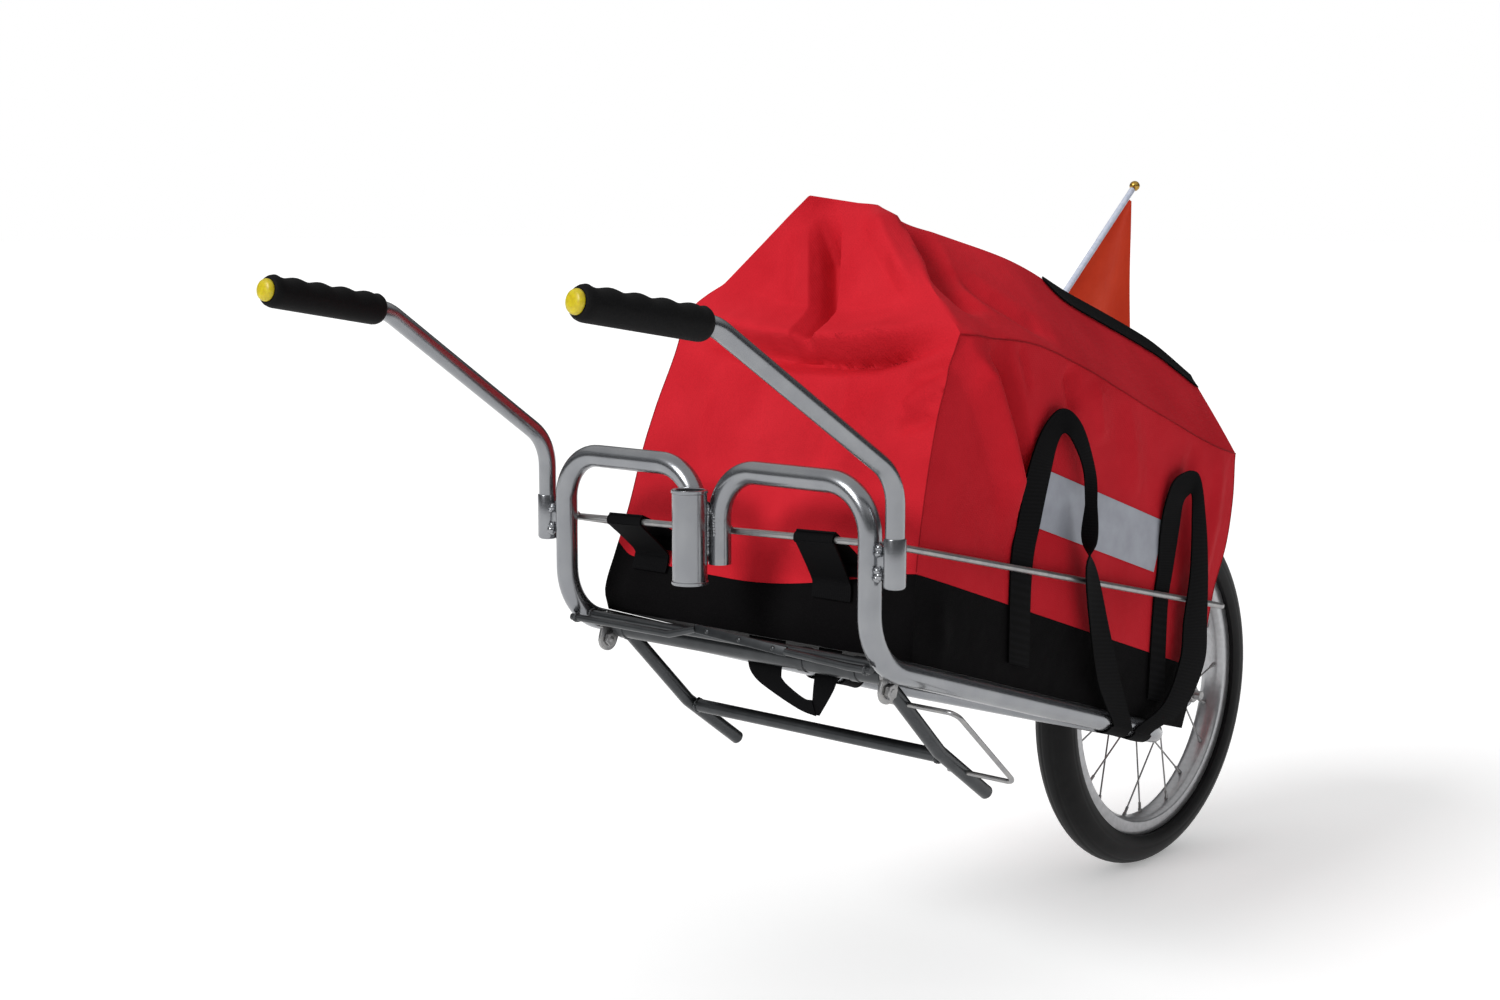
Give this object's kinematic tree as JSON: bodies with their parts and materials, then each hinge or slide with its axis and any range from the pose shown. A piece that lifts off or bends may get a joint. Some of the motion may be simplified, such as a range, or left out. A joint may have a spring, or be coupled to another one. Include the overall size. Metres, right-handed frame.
{
  "type": "single-wheel bicycle trailer",
  "caption": "Bent tube cargo trailer on one spoked rear wheel, with a strapped soft bag, plug-in cart handles, a folding stand and a flag on a leaning pole",
  "frame": {"origin": "the middle of the head tube, on its axis; the real interface there is the head tube bore, which turns on the towing fork pin", "axes": "+Z is the head tube axis and up, +Y points to the rear, +X is the left side seen in the direction of travel"},
  "size_m": [0.423, 1.3255, 0.7681],
  "materials": {
    "painted_steel": "semi-gloss silver grey paint",
    "zinc_steel": "zinc plated",
    "alloy": "machined and polished",
    "tyre_rubber": "matte",
    "grip_foam": "matte foam",
    "cap_plastic": "glossy",
    "red_fabric": "coated woven",
    "black_fabric": "coated woven",
    "webbing": "woven webbing",
    "flag_fabric": "thin woven",
    "pole_plastic": "glossy"
  },
  "bodies": {
    "frame": {"arch_left": "painted_steel", "arch_right": "painted_steel", "side_rail_left": "painted_steel", "side_rail_right": "painted_steel", "rear_cross_tube": "painted_steel", "head_tube": "painted_steel", "head_tube_web": "painted_steel", "handle_sleeve_left": "painted_steel", "handle_sleeve_right": "painted_steel", "front_wire_left": "painted_steel", "front_wire_right": "painted_steel", "riveted_plate": "painted_steel", "deck_bar": "painted_steel", "wheel_stay_left": "painted_steel", "wheel_stay_right": "painted_steel", "pivot_lug_left": "zinc_steel", "pivot_lug_right": "zinc_steel", "pivot_shaft": "zinc_steel", "stop_bolt_left": "zinc_steel", "stop_bolt_right": "zinc_steel", "rail_rod_front": "zinc_steel", "rail_rod_left": "zinc_steel", "rail_rod_right": "zinc_steel", "rail_rod_rear": "zinc_steel", "axle": "zinc_steel", "axle_nut_left": "zinc_steel", "axle_nut_right": "zinc_steel", "flag_holder": "zinc_steel", "bag_body": "red_fabric", "bag_base": "black_fabric", "zip_flap": "black_fabric", "carry_strap_front_left": "webbing", "carry_strap_front_right": "webbing", "carry_strap_rear_left": "webbing", "carry_strap_rear_right": "webbing", "front_loop_left": "webbing", "front_loop_right": "webbing", "under_loop": "webbing"},
    "wheel": {"tyre": "tyre_rubber", "inner_tube": "tyre_rubber", "rim": "alloy", "spoke_set_left": "zinc_steel", "spoke_set_right": "zinc_steel", "hub_shell": "alloy"},
    "stand": {"stand_pivot_tube": "painted_steel", "stand_leg_left": "painted_steel", "stand_leg_right": "painted_steel", "stand_crossbar": "painted_steel", "stand_pedal_wire": "zinc_steel"},
    "handle_left": {"handle_tube_left": "painted_steel", "grip_left": "grip_foam", "grip_cap_left": "cap_plastic"},
    "handle_right": {"handle_tube_right": "painted_steel", "grip_right": "grip_foam", "grip_cap_right": "cap_plastic"},
    "flag": {"flag_pole": "pole_plastic", "flag_ball": "pole_plastic", "pennant": "flag_fabric"},
    "zip_slider": {"zip_puller": "zinc_steel"}
  },
  "joints": [
    {"name": "wheel_spin", "type": "hinge", "parent": "frame", "child": "wheel", "pos_m": [0, 0.74179, -0.25362], "axis": [1, 0, 0], "continuous": true},
    {"name": "stand_fold", "type": "hinge", "parent": "frame", "child": "stand", "pos_m": [0, 0.07028, -0.10715], "axis": [-1, 0, 0], "range_deg": [0, 75]},
    {"name": "handle_left_pull", "type": "slide", "parent": "frame", "child": "handle_left", "axis": [0, 0, 1], "range_m": [0, 0.045]},
    {"name": "handle_right_pull", "type": "slide", "parent": "frame", "child": "handle_right", "axis": [0, 0, 1], "range_m": [0, 0.045]},
    {"name": "flag_pull", "type": "slide", "parent": "frame", "child": "flag", "axis": [0, 0.7627, 0.6468], "range_m": [0, 0.05]},
    {"name": "zip_slide", "type": "slide", "parent": "frame", "child": "zip_slider", "axis": [0.0766, 0.9291, -0.3618], "range_m": [0, 0.15]}
  ]
}
